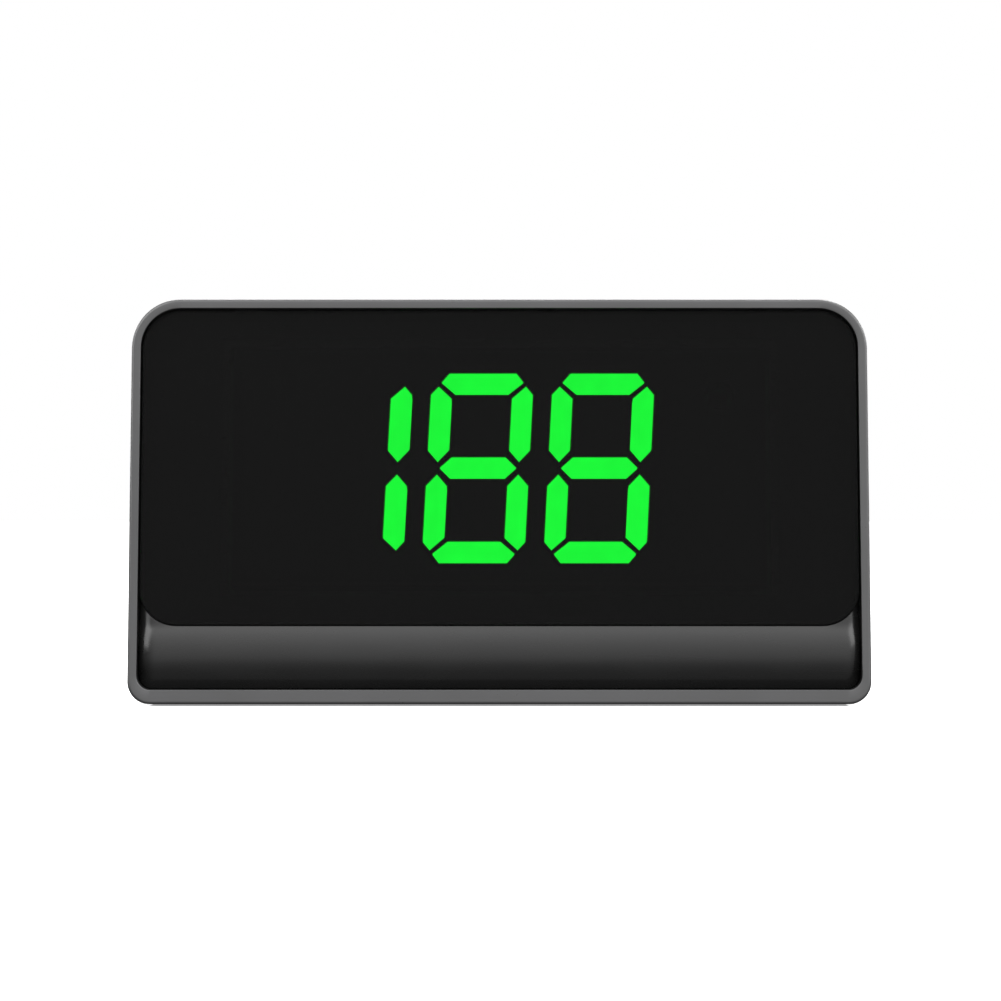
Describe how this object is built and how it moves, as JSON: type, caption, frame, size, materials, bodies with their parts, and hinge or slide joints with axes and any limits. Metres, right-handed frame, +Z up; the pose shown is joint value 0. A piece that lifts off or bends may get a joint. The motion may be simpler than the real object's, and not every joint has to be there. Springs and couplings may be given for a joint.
{
  "type": "solar speed display",
  "caption": "Small wedge-shaped solar-charged speed display with a leaning smoked window, green digits, metallic trim ring and sloping solar panel at the back.",
  "frame": {"origin": "underside of the foot pad, in the middle of the base", "axes": "+Z up, the leaning display face looks along -Y, +X to the right of someone reading the display"},
  "size_m": [0.08, 0.0307, 0.044],
  "materials": {
    "gunmetal_trim": "satin gunmetal plating",
    "gloss_black": "polished",
    "smoked_window": "clear, dark tint",
    "black_foam": "matt foam tape",
    "matte_black": "fine spark texture",
    "pad_rubber": "tacky, dimpled",
    "reflector_black": "matt",
    "light_guide": "diffusing, lit",
    "circuit_green": "solder mask",
    "component_black": "moulded",
    "antenna_ceramic": "fired ceramic",
    "bright_metal": "bright stamped",
    "cell_foil": "foil pouch",
    "connector_ivory": "moulded",
    "lead_red": "wire insulation",
    "lead_black": "wire insulation",
    "control_black": "moulded",
    "panel_board": "laminate",
    "solar_cell": "anti-reflection coated silicon",
    "panel_cover": "clear film",
    "screw_steel": "dark zinc"
  },
  "bodies": {
    "case": {"trim_ring": "gunmetal_trim", "front_shell": "gloss_black", "display_window": "smoked_window", "window_tape": "black_foam", "rear_shell": "matte_black", "foot_pad": "pad_rubber", "reflector_block": "reflector_black", "digit_hundreds_b": "light_guide", "digit_hundreds_c": "light_guide", "digit_tens_a": "light_guide", "digit_tens_b": "light_guide", "digit_tens_c": "light_guide", "digit_tens_d": "light_guide", "digit_tens_e": "light_guide", "digit_tens_f": "light_guide", "digit_tens_g": "light_guide", "digit_units_a": "light_guide", "digit_units_b": "light_guide", "digit_units_c": "light_guide", "digit_units_d": "light_guide", "digit_units_e": "light_guide", "digit_units_f": "light_guide", "digit_units_g": "light_guide", "display_board": "circuit_green", "light_sensor": "component_black", "board_header": "component_black", "main_board": "circuit_green", "gps_antenna": "antenna_ceramic", "gps_module": "bright_metal", "microcontroller": "component_black", "buzzer": "component_black", "vibration_sensor": "bright_metal", "usb_socket": "bright_metal", "battery_cell": "cell_foil", "battery_tape": "black_foam", "battery_socket": "connector_ivory", "battery_plug": "connector_ivory", "battery_lead_red": "lead_red", "battery_lead_black": "lead_black", "button_switch": "component_black", "power_switch": "bright_metal", "solar_board": "panel_board", "solar_cell_1": "solar_cell", "solar_cell_2": "solar_cell", "solar_cell_3": "solar_cell", "solar_cell_4": "solar_cell", "solar_cell_5": "solar_cell", "solar_cell_6": "solar_cell", "solar_cover": "panel_cover", "solar_lead_red": "lead_red", "solar_lead_black": "lead_black", "case_screw_left": "screw_steel", "case_screw_right": "screw_steel", "board_screw_1": "screw_steel", "board_screw_2": "screw_steel", "board_screw_3": "screw_steel", "board_screw_4": "screw_steel"},
    "set_button": {"set_button": "control_black", "button_plunger": "control_black"},
    "power_knob": {"power_knob": "control_black"}
  },
  "joints": [
    {"name": "set_button_press", "type": "slide", "parent": "case", "child": "set_button", "axis": [0, -1, 0], "range_m": [0, 0.0004], "stiffness_N_per_m": 2500, "springref_m": -0.0003},
    {"name": "power_knob_slide", "type": "slide", "parent": "case", "child": "power_knob", "axis": [1, 0, 0], "range_m": [0, 0.002]}
  ]
}
